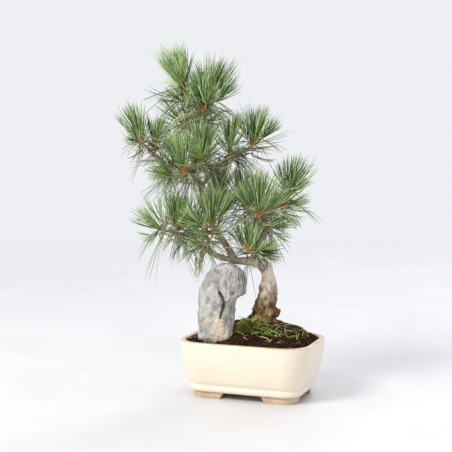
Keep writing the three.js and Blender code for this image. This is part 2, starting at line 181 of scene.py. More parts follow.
def make_floor():
    """A pale floor that fades out before its edge, so that no horizon shows."""
    bpy.ops.mesh.primitive_circle_add(vertices=96, radius=FLOOR_RADIUS, fill_type="NGON")
    floor = bpy.context.object
    floor.name = "floor"
    look = Look("floor", 0.45)
    look.paint(look.ramp(look.noise(6, 4), (0.3, (0.60, 0.60, 0.61)), (0.7, (0.66, 0.66, 0.67))))
    place = look.add("TexCoord").outputs["Object"]
    distance = look.add("VectorMath", {0: place}, operation="LENGTH").outputs["Value"]
    span = {"Value": distance, "From Min": FADE_FROM, "From Max": FADE_TO, "To Min": 1, "To Max": 0}
    fade = look.add("MapRange", span, interpolation_type="SMOOTHSTEP")
    look.links.new(fade.outputs["Result"], look.shader.inputs["Alpha"])
    floor.data.materials.append(look.material)


# ---- Materials ----

class Look:
    """A new material, with short ways to add nodes to it."""

    def __init__(self, name, roughness, specular=0.5):
        self.material = bpy.data.materials.new(name)
        self.material.use_nodes = True
        self.nodes = self.material.node_tree.nodes
        self.links = self.material.node_tree.links
        self.shader = self.nodes["Principled BSDF"]
        self.shader.inputs["Roughness"].default_value = roughness
        self.shader.inputs["Specular IOR Level"].default_value = specular

    def add(self, kind, inputs=None, **settings):
        """A node, with its settings and the values or sockets that feed its inputs."""
        node = self.nodes.new("ShaderNode" + kind)
        for key, value in settings.items():
            setattr(node, key, value)
        for key, value in (inputs or {}).items():
            socket = node.inputs[key]
            if isinstance(value, bpy.types.NodeSocket):
                self.links.new(value, socket)
            else:
                socket.default_value = (*value, 1) if socket.type == "RGBA" else value
        return node

    def place(self, stretch=(1, 1, 1)):
        found = self.add("TexCoord").outputs["Object"]
        return self.add("Mapping", {"Vector": found, "Scale": stretch}).outputs["Vector"]

    def noise(self, scale, detail=5, rough=0.55, stretch=(1, 1, 1)):
        inputs = {"Vector": self.place(stretch), "Scale": scale, "Detail": detail, "Roughness": rough}
        return self.add("TexNoise", inputs).outputs["Fac"]

    def ramp(self, factor, *stops):
        """Colours between stops; each is a position and a colour, or a grey."""
        ramp = self.add("ValToRGB", {"Fac": factor})
        elements = ramp.color_ramp.elements
        while len(elements) < len(stops):
            elements.new(0.5)
        for element, (position, colour) in zip(elements, stops):
            element.position = position
            element.color = (*colour, 1) if isinstance(colour, tuple) else (colour, colour, colour, 1)
        return ramp.outputs["Color"]

    def mix(self, factor, first, second, blend="MIX"):
        inputs = {0: factor, 6: first, 7: second}
        return self.add("Mix", inputs, data_type="RGBA", blend_type=blend).outputs[2]

    def maths(self, operation, *values):
        return self.add("Math", dict(enumerate(values)), operation=operation).outputs[0]

    def stored(self, name):
        """The three channels of a stored colour attribute."""
        colour = self.add("VertexColor", layer_name=name).outputs["Color"]
        return self.add("SeparateColor", {"Color": colour}).outputs

    def paint(self, colour):
        self.links.new(colour, self.shader.inputs["Base Color"])

    def bump(self, height, strength, depth):
        """Relief `depth` metres deep, over the relief that is already there."""
        bump = self.add("Bump", {"Height": height, "Strength": strength, "Distance": depth})
        normal = self.shader.inputs["Normal"]
        if normal.links:
            self.links.new(normal.links[0].from_socket, bump.inputs["Normal"])
        self.links.new(bump.outputs["Normal"], normal)


def grained(name, pattern, stops, roughness, specular, grain, strength, depth):
    """A look of one colour pattern, from noise settings or an attribute's name, and one grain."""
    look = Look(name, roughness, specular)
    factor = look.stored(pattern)[0] if isinstance(pattern, str) else look.noise(*pattern)
    look.paint(look.ramp(factor, *stops))
    look.bump(look.noise(*grain), strength, depth)
    return look.material


# ---- Mesh helpers ----

def new_object(name, data, material=None):
    thing = bpy.data.objects.new(name, data)
    bpy.context.scene.collection.objects.link(thing)
    if material is not None:
        data.materials.append(material)
    return thing


def place_piece(thing, slot, *nodes):
    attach(thing, "root")
    if nodes:
        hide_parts(*nodes)


def modified(thing, kind, **settings):
    """Applies one modifier to an object's mesh."""
    modifier = thing.modifiers.new(kind.lower(), kind)
    for key, value in settings.items():
        setattr(modifier, key, value)
    shaped = thing.evaluated_get(bpy.context.evaluated_depsgraph_get())
    mesh = bpy.data.meshes.new_from_object(shaped)
    thing.modifiers.clear()
    thing.data = mesh
    return thing


def remeshed(node, name, voxel):
    """A copy of a node's solid on an even mesh, for fine relief."""
    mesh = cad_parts[node].data.copy()
    mesh.materials.clear()
    return modified(new_object(name, mesh), "REMESH", mode="VOXEL", voxel_size=voxel)


def arrays(mesh):
    """A mesh's vertex places and normals as arrays."""
    places = np.empty(len(mesh.vertices) * 3, np.float32)
    normals = np.empty(len(mesh.vertices) * 3, np.float32)
    mesh.vertices.foreach_get("co", places)
    mesh.vertex_normals.foreach_get("vector", normals)
    return places.reshape(-1, 3).astype(float), normals.reshape(-1, 3).astype(float)


def store(mesh, name, values):
    """Stores three numbers a vertex as a colour attribute."""
    colour = np.ones((len(mesh.vertices), 4), np.float32)
    colour[:, :values.shape[1]] = values
    layer = mesh.color_attributes.new(name=name, type="FLOAT_COLOR", domain="POINT")
    layer.data.foreach_set("color", colour.ravel())


def shade_smooth(mesh):
    mesh.polygons.foreach_set("use_smooth", np.ones(len(mesh.polygons), bool))


def dressed(thing, places, material, slot, *nodes, **patterns):
    """Moves a piece's vertices, stores its patterns, and gives it its look and its place."""
    thing.data.vertices.foreach_set("co", places.astype(np.float32).ravel())
    thing.data.update()
    for name, channels in patterns.items():
        store(thing.data, name, np.stack(channels, 1))
    shade_smooth(thing.data)
    thing.data.materials.append(material)
    place_piece(thing, slot, *nodes)


def mesh_from(name, places, faces, smooth=True):
    mesh = bpy.data.meshes.new(name)
    mesh.from_pydata([tuple(p) for p in places], [], faces)
    if smooth:
        shade_smooth(mesh)
    mesh.update()
    return mesh


def ring_faces(levels, count, closed=False):
    """Faces between rings of `count` points; `closed` joins the last ring to the first."""
    faces = []
    for level in range(levels if closed else levels - 1):
        above = (level + 1) % levels
        for i in range(count):
            here, after = level * count, (i + 1) % count
            faces.append((here + i, here + after, above * count + after, above * count + i))
    return faces


def loft_mesh(name, rings):
    """A closed skin over rings of equal count, with a fan at each end."""
    count = len(rings[0])
    places = [p for ring in rings for p in ring]
    faces = ring_faces(len(rings), count)
    for ring, start, last in ((rings[0], 0, False), (rings[-1], (len(rings) - 1) * count, True)):
        places.append(sum(ring, Vector()) / count)
        for i in range(count):
            edge = (start + i, start + (i + 1) % count)
            faces.append((*(edge if last else edge[::-1]), len(places) - 1))
    return mesh_from(name, places, faces)


def tree_of(mesh):
    """A mesh as a tree that rays can be cast on."""
    faces = [tuple(p.vertices) for p in mesh.polygons]
    return BVHTree.FromPolygons([Vector(p) for p in arrays(mesh)[0]], faces)


def scaled_to(places, scale, stretch, shift):
    """Places for a noise whose features are `scale` mm across, moved to a part of it of their own."""
    return [Vector(p) for p in places / (MM * scale) * np.array(stretch) + shift]


def field(places, scale, stretch=(1, 1, 1), seed=0, octaves=4):
    """Fractal noise at each place, from about -1 to 1; scale is in mm."""
    spots = scaled_to(places, scale, stretch, seed * 17.3)
    return np.array([noise.fractal(spot, 0.9, 2.1, octaves) for spot in spots])


def cracks(places, scale, stretch=(1, 1, 1), seed=0):
    """0 on the borders of cells about `scale` mm across, rising inside them."""
    found = []
    for spot in scaled_to(places, scale, stretch, seed * 9.1):
        near = noise.voronoi(spot)[0]
        found.append(near[1] - near[0])
    return np.array(found)


WARP_STEPS = [Vector((3.7, 0, 0)), Vector((0, 11.3, 0)), Vector((0, 0, 23.9))]


def cell_facets(places, scale, stretch, seed):
    """Height of a patchwork of tilted flat faces about `scale` mm across, from about -1 to 1."""
    heights = []
    for spot in scaled_to(places, scale, stretch, seed * 9.1):
        spot += Vector([noise.noise(spot * 0.8 + step) for step in WARP_STEPS]) * 0.35
        distances, centres = noise.voronoi(spot)
        tilt = noise.cell_vector(centres[0] * 7.0) - Vector((0.5, 0.5, 0.5))
        border = min((distances[1] - distances[0]) / 0.12, 1)
        heights.append(2.2 * tilt.dot(spot - centres[0]) * border + 0.5 * tilt.x * border)
    return np.array(heights)


def ridged(places, scale, stretch, seed, octaves=4):
    """Noise with sharp crests, from 0 in the hollows to 1 on the crests."""
    return 1 - np.abs(field(places, scale, stretch, seed, octaves)).clip(0, 1)


def near_spot(across, height, spot, reach):
    """1 at a spot seen from the front, fading to 0 about twice `reach` mm away."""
    return np.exp(-(np.hypot(across - spot[0], height - spot[1]) / reach) ** 2)


def bell(values):
    """1 where a value is 0, falling off on both sides."""
    return np.exp(-values ** 2)


def limited(values):
    """Values held between 0 and 1."""
    return np.clip(values, 0, 1)


def planting(places):
    """Places turned into the planting's own frame, in mm."""
    rest = (places - np.array(at(0, 0, 0))) / MM
    c, s = math.cos(PLANT_TURN), math.sin(PLANT_TURN)
    return np.stack([rest[:, 0] * c + rest[:, 1] * s, rest[:, 1] * c - rest[:, 0] * s, rest[:, 2]], 1)


def line_distance(across, height, points):
    """How far places seen from the front are from a line through points, and how far along it."""
    best = np.full(len(across), 1e9)
    share = np.zeros(len(across))
    for i in range(len(points) - 1):
        (x0, z0), (x1, z1) = points[i], points[i + 1]
        run, rise = x1 - x0, z1 - z0
        t = (((across - x0) * run + (height - z0) * rise) / (run * run + rise * rise)).clip(0, 1)
        gap = np.hypot(across - x0 - t * run, height - z0 - t * rise)
        closer = gap < best
        best = np.where(closer, gap, best)
        share = np.where(closer, (i + t) / (len(points) - 1), share)
    return best, share


# ---- Pot ----

def pot_ring(height, inset, steps=10, straight=5):
    """One level of the pot: a rounded rectangle drawn in by `inset` mm from the rim."""
    half_x = POT_SIZE.x / 2 - inset
    half_y = POT_SIZE.y / 2 - inset
    corner = max(POT_CORNER - inset, 6)
    corners = []
    for quarter, (sign_x, sign_y) in enumerate(((1, 1), (-1, 1), (-1, -1), (1, -1))):
        for i in range(steps + 1):
            angle = (quarter + i / steps) * math.pi / 2
            corners.append(Vector((
                sign_x * (half_x - corner) + corner * math.cos(angle),
                sign_y * (half_y - corner) + corner * math.sin(angle),
                height,
            )))
    ring = []
    for i, point in enumerate(corners):
        ring.append(point)
        if (i + 1) % (steps + 1) == 0:
            after = corners[(i + 1) % len(corners)]
            ring.extend(point.lerp(after, k / straight) for k in range(1, straight))
    return [p * MM + POT_FOOT for p in ring]


def wall_inset(height):
    rise = (height - FOOT_HEIGHT) / (POT_SIZE.z - FOOT_HEIGHT)
    return POT_TAPER * (1 - rise) ** POT_BELLY


def pot_profile():
    """(height, inset) from the middle of the underside, up the outside, over the rim and down inside."""
    top = POT_SIZE.z
    low = FOOT_HEIGHT
    points = [(low, 44), (low, POT_TAPER + 1), (low + 0.4, POT_TAPER - 1), (low + 1.5, POT_TAPER - 2.5)]
    points += [(BAND_TOP - 4.5, POT_TAPER - 3.5), (BAND_TOP - 2, POT_TAPER - 3.7)]
    points += [(BAND_TOP - 0.9, POT_TAPER - 3.2), (BAND_TOP, POT_TAPER - 3.0)]
    points += [(BAND_TOP + 1.4, POT_TAPER - 3.9)]
    points += [(h, wall_inset(h)) for h in np.linspace(BAND_TOP + 4, top - 3, 18)]
    points += [(top - 1.6, 0.1), (top - 0.7, 0.5), (top - 0.15, 1.3), (top, 2.4)]
    points += [(top, WALL - 2), (top - 0.3, WALL - 0.9), (top - 1, WALL - 0.2)]
    points += [(h, wall_inset(h) + WALL) for h in np.linspace(top - 3, FLOOR_TOP + 5, 9)]
    points += [(FLOOR_TOP + 1.5, POT_TAPER + WALL + 1), (FLOOR_TOP, POT_TAPER + WALL + 4), (FLOOR_TOP, 44)]
    return points


def feet_mesh():
    """The four feet as one ring under the wall; the arches between them are cut out later."""
    outer = [(0, POT_TAPER + 2.4), (0.8, POT_TAPER + 1.7), (FOOT_HEIGHT + 0.3, POT_TAPER + 1.2)]
    inner = [(FOOT_HEIGHT + 0.3, POT_TAPER + 11), (0.8, POT_TAPER + 11), (0, POT_TAPER + 10.5)]
    rings = [pot_ring(height, inset) for height, inset in outer + inner]
    places = [p for ring in rings for p in ring]
    return mesh_from("pot_feet", places, ring_faces(len(rings), len(rings[0]), closed=True))


def arch_cutter(width, length, turned):
    """A bar with sloping sides, which cuts the space between two feet."""
    half = width / 2
    roof = FOOT_HEIGHT + 0.1
    outline = [(-half - ARCH_SLOPE, -1), (half + ARCH_SLOPE, -1), (half, roof), (-half, roof)]
    places = []
    for end in (-length / 2, length / 2):
        for across, height in outline:
            x, y = (end, across) if turned else (across, end)
            places.append(Vector((x, y, height)) * MM + POT_FOOT)
    faces = [(0, 1, 2, 3), (7, 6, 5, 4), (0, 4, 5, 1), (1, 5, 6, 2), (2, 6, 7, 3), (3, 7, 4, 0)]
    mesh = mesh_from("arch", places, faces, smooth=False)
    body = bmesh.new()
    body.from_mesh(mesh)
    bmesh.ops.recalc_face_normals(body, faces=body.faces)
    body.to_mesh(mesh)
    body.free()
    return new_object("arch", mesh)


def cut(thing, tool):
    modified(thing, "BOOLEAN", object=tool, operation="DIFFERENCE", solver="EXACT")
    bpy.data.objects.remove(tool)


def glaze_material():
    """Cream glaze with rare iron specks, thin and brown on the rim and round the foot."""
    look = Look("cream_glaze", 0.24)
    look.shader.inputs["Coat Weight"].default_value = 0.25
    look.shader.inputs["Coat Roughness"].default_value = 0.12
    tone = look.ramp(look.noise(14, 3), (0.3, (0.77, 0.675, 0.535)), (0.7, (0.82, 0.73, 0.595)))
    specks = look.add("TexVoronoi", {"Vector": look.place(), "Scale": 120}).outputs["Distance"]
    rare = look.maths("GREATER_THAN", look.noise(55, 2), 0.66)
    speck = look.maths("MULTIPLY", look.maths("LESS_THAN", specks, 0.1), rare)
    tone = look.mix(look.maths("MULTIPLY", speck, 0.6), tone, (0.30, 0.17, 0.07))
    wander = look.maths("ADD", look.noise(80, 3), 0.5)
    thin = look.maths("MULTIPLY", look.stored("glaze")[0], wander)
    look.paint(look.mix(thin, tone, (0.50, 0.33, 0.18)))
    look.bump(look.noise(30, 2), 0.25, 0.0006)
    return look.material


def make_pot():
    rings = [pot_ring(height, inset) for height, inset in pot_profile()]
    pot = new_object("pot_glazed", loft_mesh("pot_glazed", rings), glaze_material())
    for side in (-1, 1):
        size = {"radius": DRAIN_RADIUS * MM, "depth": DRAIN_CUT_DEPTH * MM}
        bpy.ops.mesh.primitive_cylinder_add(vertices=40, **size)
        hole = bpy.context.object
        hole.location = POT_MIDDLE.x + side * DRAIN_SPACING / 2 * MM, POT_MIDDLE.y, FLOOR_TOP * MM
        cut(pot, hole)
    height = arrays(pot.data)[0][:, 2] / MM
    edge = bell((height - POT_SIZE.z + 0.5) / 0.8)
    foot = limited((FOOT_HEIGHT + 1.2 - height) / 1.0)
    store(pot.data, "glaze", np.stack([np.maximum(edge, foot)], 1))
    shade_smooth(pot.data)
    place_piece(pot, "glazed_ceramic", "pot")
    clay = grained("bare_clay", (60, 6), [(0.3, (0.52, 0.37, 0.235)), (0.7, (0.70, 0.53, 0.36))],
                   0.85, 0.5, (500, 4), 0.35, 0.0004)
    feet = new_object("pot_feet", feet_mesh(), clay)
    cut(feet, arch_cutter(POT_SIZE.x * FRONT_ARCH, POT_SIZE.y + 20, False))
    cut(feet, arch_cutter(POT_SIZE.y * SIDE_ARCH, POT_SIZE.x + 20, True))
    modified(feet, "BEVEL", width=0.7 * MM, segments=2, limit_method="ANGLE", angle_limit=0.7)
    place_piece(feet, "glazed_ceramic")


# ---- Stone ----

def stone_material():
    """Grey limestone: pale patches, a cream stain, and painted shade in its hollows."""
    look = Look("limestone", 0.92, 0.25)
    hollow_shade, stain, pale = look.stored("relief")
    tone = look.ramp(
        look.noise(48, 8, 0.62, (1, 1, 0.7)),
        (0.3, (0.20, 0.195, 0.18)), (0.45, (0.37, 0.355, 0.335)),
        (0.58, (0.50, 0.485, 0.455)), (0.76, (0.70, 0.685, 0.645)))
    fine = look.noise(420, 5, 0.7)
    tone = look.mix(0.45, tone, look.ramp(fine, (0.3, 0.4), (0.7, 1.0)), "MULTIPLY")
    tone = look.mix(look.maths("MULTIPLY", pale, 0.45), tone, (0.74, 0.72, 0.67))
    tone = look.mix(look.maths("MULTIPLY", stain, 0.6), tone, (0.72, 0.61, 0.43))
    # Painted shade: the hollows, the crevice and the pocket are mixed towards near black.
    look.paint(look.mix(hollow_shade, tone, (0.045, 0.038, 0.03)))
    look.bump(fine, 0.55, 0.0008)
    look.bump(look.noise(160, 6, 0.7), 0.6, 0.0018)
    return look.material


def make_stone():
    stone = remeshed("stone", "stone_rock", STONE_VOXEL)
    places, normals = arrays(stone.data)
    top = places[:, 2].max()
    across, _, height = planting(places).T
    big = field(places, 24, (1, 1, 0.7), seed=3)
    faces = cell_facets(places, 18, (1, 1, 0.55), seed=2)
    chips = cell_facets(places, 6.5, (1, 1, 0.7), seed=6)
    lines = ridged(places, 7, (1.6, 1.6, 0.28), seed=5) - 0.68
    lines *= limited((height - FLOW_LINES_FROM) / 22)
    small = field(places, 3.5, seed=7)
    push = 1.6 * big + 2.9 * faces + 0.9 * chips + 2.6 * lines + 0.45 * small
    front = limited(-normals @ FRONT * 2)
    gap, share = line_distance(across + 1.2 * small, height, CREVICE)
    width = 0.7 + 2.2 * np.sin(math.pi * share.clip(0.02, 0.98))
    crevice = bell(gap / width) * front
    pocket = bell(np.hypot(across - POCKET[0], (height - POCKET[1]) * 1.3) / 3.2) * front
    under = bell((height - UNDERCUT[1]) / 6) * limited((across - UNDERCUT[0]) / 8)
    push -= 6.0 * crevice + 2.4 * pocket + 2.2 * under
    places += normals * (push * MM)[:, None]
    places[:, 2] = np.minimum(places[:, 2], top)
    # Painted shade: darker where the relief is pushed in, darkest in the crevice and the pocket.
    hollow_shade = -(big + 1.3 * faces + chips + 2 * lines) / 4.5 - 0.14 + 1.1 * crevice + 0.5 * pocket
    reach = np.hypot((across - STAIN[0]) / 13, (height - STAIN[1]) / 17)
    reach += 0.8 * field(places, 9, (1, 1, 0.6), seed=11)
    stain = limited(1.3 - reach) * front
    pale = np.clip(field(places, 13, (1, 1, 0.8), seed=13) - 0.15, 0, 0.5) * 2
    # The relief attribute holds the painted shade of the hollows, the cream stain and the pale patches.
    relief = [limited(hollow_shade), stain, pale]
    dressed(stone, places, stone_material(), "stone", "stone", relief=relief)


# ---- Wood ----


def bark_material():
    """Smooth pale bark above, dark flaking bark with rusty plates on the old trunk, and painted shade in its
    furrows.
    """
    look = Look("pine_bark", 0.9, 0.2)
    hollow_shade, old, knot = look.stored("bark")
    young = look.ramp(
        look.noise(90, 7, 0.68, (1, 1, 0.6)),
        (0.32, (0.30, 0.215, 0.15)), (0.44, (0.59, 0.50, 0.395)),
        (0.6, (0.72, 0.64, 0.53)), (0.72, (0.86, 0.81, 0.71)))
    patch = look.noise(70, 8, 0.72, (1, 1, 0.8))
    aged = look.ramp(
        patch,
        (0.38, (0.035, 0.018, 0.007)), (0.47, (0.16, 0.085, 0.028)),
        (0.54, (0.28, 0.160, 0.070)), (0.65, (0.62, 0.43, 0.29)))
    # Painted shade: the furrows and hollows of the bark are mixed towards near black.
    tone = look.mix(hollow_shade, look.mix(old, young, aged), (0.035, 0.018, 0.008))
    fine = look.noise(600, 6, 0.7, (1, 1, 0.5))
    tone = look.mix(0.35, tone, look.ramp(fine, (0.35, 0.45), (0.6, 1.0)), "MULTIPLY")
    look.paint(look.mix(knot, tone, (0.10, 0.05, 0.022)))
    look.bump(fine, 0.5, 0.0006)
    look.bump(patch, 0.5, 0.0018)
    return look.material


def make_wood():
    wood = remeshed("trunk_and_branches", "wood_bark", BARK_VOXEL)
    modified(wood, "SMOOTH", iterations=4, factor=0.5)
    places, normals = arrays(wood.data)
    across, _, height = planting(places).T
    right = limited((across + 20) / 16)
    trunk = right * limited((178 - height) / 12)
    rough = trunk * limited((148 - height) / 30)
    knobs = field(places, 12, (1, 1, 0.8), seed=6)
    warp = field(places, 8, seed=4)[:, None] * np.array([2.4, 2.4, 3.5]) * MM
    crests = ridged(places + warp, 7, (1, 1, 0.6), seed=2)
    plates = cracks(places + warp, 4.6, (1, 1, 0.7), seed=9)
    worn = limited(0.55 + 0.9 * field(places, 10, seed=3))
    furrow = bell(plates / 0.16) * worn
    fibre = field(places, 3.2, (1, 1, 0.5), seed=8)
    wrinkle = ridged(places, 5, (0.35, 0.35, 1.5), seed=12, octaves=2)
    push = rough * (2.0 * knobs + 2.5 * (crests - 0.7) - 1.0 * furrow + 0.55 * fibre)
    push += (1 - rough) * (0.16 * fibre + 0.2 * knobs + trunk * (0.7 * knobs - 0.35 * (1 - wrinkle)))
    push -= 2.4 * near_spot(across, height, TRUNK_DENT, 4.5) * trunk
    front = limited(-normals @ FRONT * 2 - 0.3)
    around = np.hypot(across - KNOT[0], (height - KNOT[1]) * 0.9)
    around += 1.1 * field(places, 7, seed=10) + 0.5 * field(places, 2.6, seed=21)
    inside = limited(5.2 - around) * front
    lip = bell((around - 6.6) / 1.3) * front
    near = limited((9 - around) / 2) * front
    push = push * (1 - 0.7 * near) + 1.4 * lip - 1.2 * inside
    places += normals * (push * MM)[:, None]
    # Painted shade: darker between the crests, along the cracks between the plates, and faintly in the
    # wrinkles of the upper trunk.
    hollow_shade = rough * np.clip((0.6 - crests) * 2.2 + 0.75 * furrow, 0, 0.9)
    hollow_shade += 0.3 * trunk * (1 - rough) * limited(0.55 - wrinkle)
    old = limited((142 - height) / 34 + 0.5 * knobs) * right
    old = np.maximum(old, 0.55 * (1 - trunk))
    middle = np.hypot(across - KNOT[0] - 0.9, height - KNOT[1] + 0.6) + 0.6 * fibre
    scar = bell((around - 5.2) / 1.3) * (0.8 + 0.4 * fibre) + 0.9 * bell(middle / 2.1)
    bark = [hollow_shade.clip(0, 1), old, (scar * front).clip(0, 1)]
    dressed(wood, places, bark_material(), "bark", "trunk_and_branches", bark=bark)


# ---- Needles ----

# Each brush of needles: the way it points in the planting's frame, how full it is, how rusty
# the buds at its heart are, and how much of it is old growth that spreads and hangs.
SHOOTS = {
    "top_left": ((-0.35, 0, 0.9), 1.3, 0.7, 0.1),
    "top_centre": ((0, -0.15, 1), 1.6, 1.0, 0.2),
    "top_right": ((0.35, 0, 0.95), 1.3, 0.9, 0.15),
    "top_back": ((-0.4, 0.5, 0.75), 0.8, 0.3, 0.4),
    "upper_left": ((-0.7, 0.1, 0.7), 0.7, 0.2, 0.8),
    "left_end": ((-0.4, 0, 0.9), 1.1, 0.4, 0.3),
    "left_inner": ((0.1, 0.3, 0.95), 0.9, 0.2, 0.4),
    "left_skirt": ((-0.9, -0.1, -0.35), 0.8, 0.1, 1.0),
    "middle_left": ((-0.2, -0.2, 0.95), 1.4, 1.0, 0.25),
    "middle_left_skirt": ((-0.5, -0.4, -0.6), 0.8, 0.1, 1.0),
    "middle_front": ((0.1, -0.2, 1), 1.3, 1.0, 0.25),
    "middle_skirt": ((0.7, -0.5, -0.1), 0.8, 0.1, 1.0),
    "right_middle": ((0.05, -0.1, 1), 1.0, 0.2, 0.4),
    "right_middle_end": ((0.2, 0, 1), 1.0, 0.6, 0.3),
    "right_middle_skirt": ((0.8, 0.3, -0.4), 0.7, 0.1, 1.0),
    "far_right": ((0.3, 0, 0.95), 1.1, 0.2, 0.2),
    "far_right_low": ((0.9, -0.2, 0.2), 0.8, 0.9, 0.7),
    "right_front": ((0, -0.2, 1), 1.4, 1.0, 0.15),
    "right_back": ((-0.15, 0.1, 1), 1.2, 0.2, 0.4),
    "low_centre": ((0, -0.2, 1), 1.2, 1.0, 0.2),
    "low_right": ((0.1, -0.2, 1), 1.0, 0.9, 0.05),
    "low_right_skirt": ((0.85, -0.2, 0.05), 0.4, 0.1, 0.1),
    "low_left_end": ((-0.8, 0, 0.6), 0.75, 0.3, 0.5),
    "low_left_up": ((0, -0.1, 1), 0.75, 0.4, 0.35),
    "low_left_down": ((-0.5, 0, -0.8), 0.8, 0.1, 1.0),
    "low_left_hang": ((0.1, 0.1, -1), 0.6, 0.1, 1.0),
    "low_left_middle": ((0.1, 0.2, 0.95), 0.7, 0.2, 0.6),
    "low_inner": ((-0.4, -0.4, 0.6), 0.65, 0.2, 0.8),
    "right_low": ((0.8, 0.2, 0.2), 0.8, 0.2, 0.8),
    "back_top": ((0.3, 0.7, 0.6), 0.9, 0.4, 0.4),
    "back_upper": ((0.1, 0.6, 0.8), 1.1, 0.6, 0.4),
    "back_left": ((-0.2, 0.6, 0.8), 1.0, 0.4, 0.4),
    "back_middle": ((0.1, 0.5, 0.85), 1.1, 0.6, 0.4),
    "back_right": ((0.3, 0.6, 0.8), 1.1, 0.5, 0.4),
    "back_low": ((-0.3, 0.5, 0.8), 1.0, 0.4, 0.5),
}
NEEDLES_A_FASCICLE = 5
CANDLE_FASCICLES = 23            # new growth on a shoot of fullness 1
OLD_FASCICLES = 9                # last year's growth below it
SIDE_SHOOTS = 2
NEEDLE_SIDES = 3
NEEDLE_RINGS = 7
NEEDLE_CORNERS = NEEDLE_RINGS * NEEDLE_SIDES
NEEDLE_WIDTH = 0.41 * MM         # from a needle's axis to its corner
NEEDLE_SHAPE = np.array([0.7, 1.0, 1.0, 1.0, 1.0, 0.85, 0.25])
REACH_SPARE = 2 * MM             # how far needles may pass the solids' box
STEM_RADIUS = 1.5 * MM
SIDE_STEM_RADIUS = 0.95 * MM
SIDE_WARMTH = 0.3                # rust of a side shoot's sheaths, where the main shoot's is 1


def unit(vectors):
    return vectors / np.linalg.norm(vectors, axis=-1, keepdims=True)


def shoot_frame(name):
    """Where a shoot's brush begins, which way it points and how far it reaches, from its solid."""
    pointing = way(*SHOOTS[name][0])
    places, _ = arrays(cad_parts["needles_" + name].data)
    depth = places @ np.array(pointing)
    foot = places[depth < depth.min() + 0.6 * MM].mean(0)
    return foot, np.array(pointing), float(depth.max() - depth.min())


def cone_directions(axis, angles, turns):
    """Directions at given angles from an axis, turned about it."""
    side = unit(np.cross(axis, (0.3, 0.9, 0.2)))
    other = np.cross(axis, side)
    around = np.cos(turns)[:, None] * side + np.sin(turns)[:, None] * other
    return np.cos(angles)[:, None] * axis + np.sin(angles)[:, None] * around


def spiral(count, rng):
    return np.arange(count) * GOLDEN_ANGLE + rng.uniform(0, 2 * math.pi)


def candle(foot, axis, reach, count, rng):
    """New growth: fascicles round the tip of the shoot that open out and sweep up together."""
    share = (np.arange(count) + 0.5) / count
    roots = foot + axis * (reach * 0.24 * share)[:, None]
    angles = np.radians(41 - 35 * share + rng.normal(0, 6, count))
    headings = cone_directions(axis, angles, spiral(count, rng))
    bends = rng.normal(0, 0.05, (count, 3)) + (0.34 - 0.24 * share)[:, None] * axis
    bends[:, 2] += 0.1
    lengths = reach * (0.83 - 0.17 * share) * rng.uniform(0.84, 1.04, count)
    return roots, unit(headings), bends, lengths, np.zeros(count), np.full(count, 0.075)


def old_growth(foot, axis, reach, count, droop, rng):
    """Last year's fascicles: lower on the shoot, spreading, arching up or partly hanging."""
    share = (np.arange(count) + 0.5) / count
    roots = foot + axis * (reach * (0.08 - 0.3 * (1 - share)))[:, None]
    angles = np.radians(112 - 46 * share + rng.normal(0, 10, count))
    headings = cone_directions(axis, angles, spiral(count, rng))
    headings[:, 2] += 0.12 - 0.36 * droop
    bends = rng.normal(0, 0.16, (count, 3))
    hanging = rng.uniform(0, 1, count) < 0.35 + 0.5 * droop
    bends[:, 2] += np.where(hanging, rng.uniform(-0.7, -0.2, count), rng.uniform(0.1, 0.42, count))
    lengths = reach * rng.uniform(0.62, 0.92, count) * np.where(hanging, 1.08, 1)
    return roots, unit(headings), bends, lengths, np.ones(count), np.full(count, 0.11)


def side_shoots(droop, foot, axis, reach, rng):
    """Smaller shoots round the foot of the main one."""
    starts = foot - axis[None] * rng.uniform(0, 0.1 * reach, SIDE_SHOOTS)[:, None]
    angles = np.radians(rng.uniform(42, 74, SIDE_SHOOTS))
    turns = np.arange(SIDE_SHOOTS) * 2 * math.pi / SIDE_SHOOTS + rng.uniform(0, 2 * math.pi)
    directions = cone_directions(axis, angles, turns)
    feet = starts + directions * (0.26 * reach)
    directions[:, 2] += 0.45 - 0.5 * droop
    return starts, feet, unit(directions), reach * rng.uniform(0.62, 0.76, SIDE_SHOOTS)


def brush_fascicles(name, rng):
    """All fascicles of one brush, and the stems that carry them."""
    foot, axis, reach = shoot_frame(name)
    _, fullness, _, droop = SHOOTS[name]
    new = int(round(CANDLE_FASCICLES * fullness * (1 - droop) ** 0.6))
    old = int(round(OLD_FASCICLES * fullness * (0.75 + 0.8 * droop)))
    groups = [(*old_growth(foot, axis, reach, old, droop, rng), np.ones(old))]
    if new > 2:
        groups.append((*candle(foot, axis, reach, new, rng), np.ones(new)))
    stems = [(foot - axis * 4 * MM, foot + axis * (0.22 * reach), STEM_RADIUS)]
    starts, feet, directions, reaches = side_shoots(droop, foot, axis, reach, rng)
    for start, side_foot, direction, side_reach in zip(starts, feet, directions, reaches):
        few = max(old // 3, 3)
        growth = old_growth(side_foot, direction, side_reach, few, droop, rng)
        groups.append((*growth, np.full(few, SIDE_WARMTH)))
        if new > 4:
            few = max(new // 3, 4)
            growth = candle(side_foot, direction, side_reach, few, rng)
            groups.append((*growth, np.full(few, SIDE_WARMTH)))
        stems.append((start, side_foot + direction * (0.18 * side_reach), SIDE_STEM_RADIUS))
    return [np.concatenate(parts) for parts in zip(*groups)], stems, foot, axis


def keep_inside(starts, headings, bends, lengths):
    """Shortens the needles that would pass the box of the solids by more than the spare."""
    low = np.array(CAD_BOX[0]) - REACH_SPARE
    high = np.array(CAD_BOX[1]) + REACH_SPARE
    low[2] += REACH_SPARE
    for _ in range(12):
        outside = np.zeros(len(starts), bool)
        for t in (0.6, 0.8, 1.0):
            tips = starts + lengths[:, None] * (headings * t + bends * t ** 2)
            outside |= ((tips < low) | (tips > high)).any(1)
        lengths = np.where(outside, lengths * 0.92, lengths)
    return lengths


